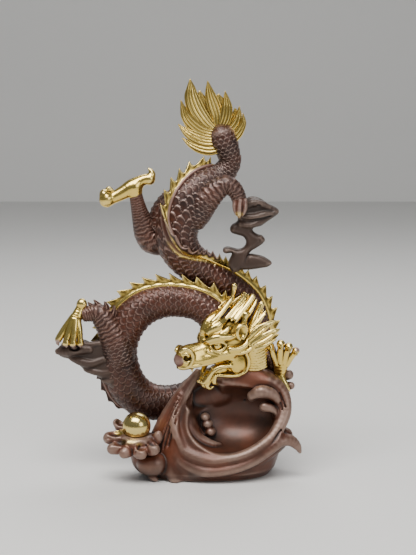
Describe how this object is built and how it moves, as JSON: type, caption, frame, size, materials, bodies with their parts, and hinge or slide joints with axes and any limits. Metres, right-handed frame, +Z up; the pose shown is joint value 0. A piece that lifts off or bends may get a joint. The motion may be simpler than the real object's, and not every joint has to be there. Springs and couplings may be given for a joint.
{
  "type": "dragon sculpture",
  "caption": "Cast dragon looped over a curling wave: head on the crest, body in a ring, tail tuft up, clouds at its feet and a pearl in the wave's cup.",
  "frame": {"origin": "centre of the wave base's flat underside", "axes": "+Z up through the sculpture, -Y out of its front, +X to the viewer's right"},
  "size_m": [0.1227, 0.059, 0.1965],
  "materials": {
    "dragon": "cast brass with a dark reddish-brown patina, rubbed pinkish on the scale edges; head, mane, fin, paws and tail tuft bright",
    "wave_base": "cast brass with a satin brown patina, redder and rubbed along the crest",
    "pearl": "polished bright"
  },
  "bodies": {
    "root": {"dragon": "dragon", "wave_base": "wave_base", "pearl": "pearl"}
  },
  "joints": []
}
